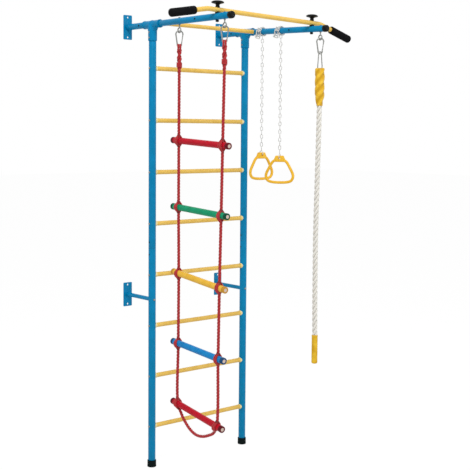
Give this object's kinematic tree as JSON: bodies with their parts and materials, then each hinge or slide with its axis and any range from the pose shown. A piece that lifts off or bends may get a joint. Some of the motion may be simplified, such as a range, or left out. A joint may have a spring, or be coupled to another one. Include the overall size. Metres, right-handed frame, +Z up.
{
  "type": "swedish wall bars",
  "caption": "Children's steel wall bars with round rungs, a pull-up bar on two arms, and a rope ladder, rings and a climbing rope that hang from the arms.",
  "frame": {"origin": "where the wall meets the floor, midway between the posts", "axes": "+X along the wall to the right, +Y into the wall, +Z up"},
  "size_m": [1.1198, 0.8021, 2.232],
  "materials": {
    "blue_paint": "gloss powder coat",
    "yellow_paint": "gloss powder coat",
    "foot_rubber": "matt moulded rubber",
    "grip_foam": "matt foam",
    "black_plastic": "moulded, half matt",
    "zinc_steel": "zinc plated",
    "ring_plastic": "moulded, glossy",
    "rope_sleeve_plastic": "smooth plastic",
    "climbing_rope_fibre": "laid rope",
    "ladder_rope_fibre": "laid rope",
    "red_rung": "smooth",
    "green_rung": "smooth",
    "yellow_rung": "smooth",
    "blue_rung": "smooth"
  },
  "bodies": {
    "frame": {"left_post_lower": "blue_paint", "left_post_upper": "blue_paint", "left_splice_sleeve": "zinc_steel", "left_foot_cap": "foot_rubber", "left_tee_fitting": "blue_paint", "left_arm": "blue_paint", "left_arm_cap": "black_plastic", "left_upper_bracket": "blue_paint", "left_lower_bracket": "blue_paint", "left_grip": "grip_foam", "left_saddle": "black_plastic", "left_knob_nut": "black_plastic", "right_post_lower": "blue_paint", "right_post_upper": "blue_paint", "right_splice_sleeve": "zinc_steel", "right_foot_cap": "foot_rubber", "right_tee_fitting": "blue_paint", "right_arm": "blue_paint", "right_arm_cap": "black_plastic", "right_upper_bracket": "blue_paint", "right_lower_bracket": "blue_paint", "right_grip": "grip_foam", "right_saddle": "black_plastic", "right_knob_nut": "black_plastic", "rung_1": "yellow_paint", "rung_2": "yellow_paint", "rung_3": "yellow_paint", "rung_4": "yellow_paint", "rung_5": "yellow_paint", "rung_6": "yellow_paint", "rung_7": "yellow_paint", "rung_8": "yellow_paint", "crossbar": "yellow_paint", "pull_up_bar": "yellow_paint", "ladder_rear_eye_bolt": "zinc_steel", "ladder_front_eye_bolt": "zinc_steel", "rope_eye_bolt": "zinc_steel"},
    "left_knob": {"left_knob": "black_plastic"},
    "right_knob": {"right_knob": "black_plastic"},
    "ladder": {"ladder_rear_hook": "zinc_steel", "ladder_front_hook": "zinc_steel", "ladder_rope": "ladder_rope_fibre", "ladder_rung_1": "red_rung", "ladder_rung_2": "green_rung", "ladder_rung_3": "yellow_rung", "ladder_rung_4": "blue_rung", "ladder_rung_5": "red_rung"},
    "ladder_rear_gate": {"ladder_rear_hook_gate": "zinc_steel"},
    "ladder_front_gate": {"ladder_front_hook_gate": "zinc_steel"},
    "ring_1_chain": {"ring_1_chain": "zinc_steel"},
    "ring_1": {"ring_1": "ring_plastic"},
    "ring_2_chain": {"ring_2_chain": "zinc_steel"},
    "ring_2": {"ring_2": "ring_plastic"},
    "rope_hook": {"rope_hook": "zinc_steel"},
    "rope_gate": {"rope_hook_gate": "zinc_steel"},
    "climbing_rope": {"rope_shackle": "zinc_steel", "rope_sleeve": "rope_sleeve_plastic", "climbing_rope": "climbing_rope_fibre", "rope_end_whipping": "rope_sleeve_plastic"}
  },
  "joints": [
    {"name": "left_knob_turn", "type": "hinge", "parent": "frame", "child": "left_knob", "pos_m": [-0.295, -0.69588, 2.191], "axis": [0.0255, 0, 0.9997], "continuous": true},
    {"name": "right_knob_turn", "type": "hinge", "parent": "frame", "child": "right_knob", "pos_m": [0.295, -0.69588, 2.17592], "axis": [0.0255, 0, 0.9997], "continuous": true},
    {"name": "ladder_swing", "type": "hinge", "parent": "frame", "child": "ladder", "pos_m": [-0.295, -0.42, 2.112], "axis": [0, 1, 0], "range_deg": [-8, 35]},
    {"name": "ladder_rear_gate_open", "type": "hinge", "parent": "ladder", "child": "ladder_rear_gate", "pos_m": [-0.28686, -0.42683, 2.06138], "axis": [-0.6428, -0.766, 0], "range_deg": [0, 20], "stiffness_Nm_per_rad": 0.02, "springref_deg": -11.46},
    {"name": "ladder_front_gate_open", "type": "hinge", "parent": "ladder", "child": "ladder_front_gate", "pos_m": [-0.28686, -0.75283, 2.06138], "axis": [-0.6428, -0.766, 0], "range_deg": [0, 20], "stiffness_Nm_per_rad": 0.02, "springref_deg": -11.46},
    {"name": "ring_1_swing", "type": "hinge", "parent": "frame", "child": "ring_1_chain", "pos_m": [0.295, -0.34394, 2.15859], "axis": [0, 1, 0], "range_deg": [-45, 10]},
    {"name": "ring_1_tilt", "type": "hinge", "parent": "ring_1_chain", "child": "ring_1", "pos_m": [0.295, -0.34394, 1.53679], "axis": [0.0698, 0.9976, 0], "range_deg": [-20, 20]},
    {"name": "ring_2_swing", "type": "hinge", "parent": "frame", "child": "ring_2_chain", "pos_m": [0.295, -0.47987, 2.15408], "axis": [0, 1, 0], "range_deg": [-45, 10]},
    {"name": "ring_2_tilt", "type": "hinge", "parent": "ring_2_chain", "child": "ring_2", "pos_m": [0.295, -0.47987, 1.52328], "axis": [0.8572, 0.515, 0], "range_deg": [-20, 20]},
    {"name": "rope_side_swing", "type": "hinge", "parent": "frame", "child": "rope_hook", "pos_m": [0.295, -0.75406, 2.09496], "axis": [0, 1, 0], "range_deg": [-35, 8]},
    {"name": "rope_gate_open", "type": "hinge", "parent": "rope_hook", "child": "rope_gate", "pos_m": [0.30314, -0.76105, 2.04434], "axis": [-0.6428, -0.766, 0], "range_deg": [0, 20], "stiffness_Nm_per_rad": 0.02, "springref_deg": -11.46},
    {"name": "rope_fore_swing", "type": "hinge", "parent": "rope_hook", "child": "climbing_rope", "pos_m": [0.295, -0.75422, 2.03486], "axis": [0.9848, 0.1736, 0], "range_deg": [-30, 10]}
  ]
}
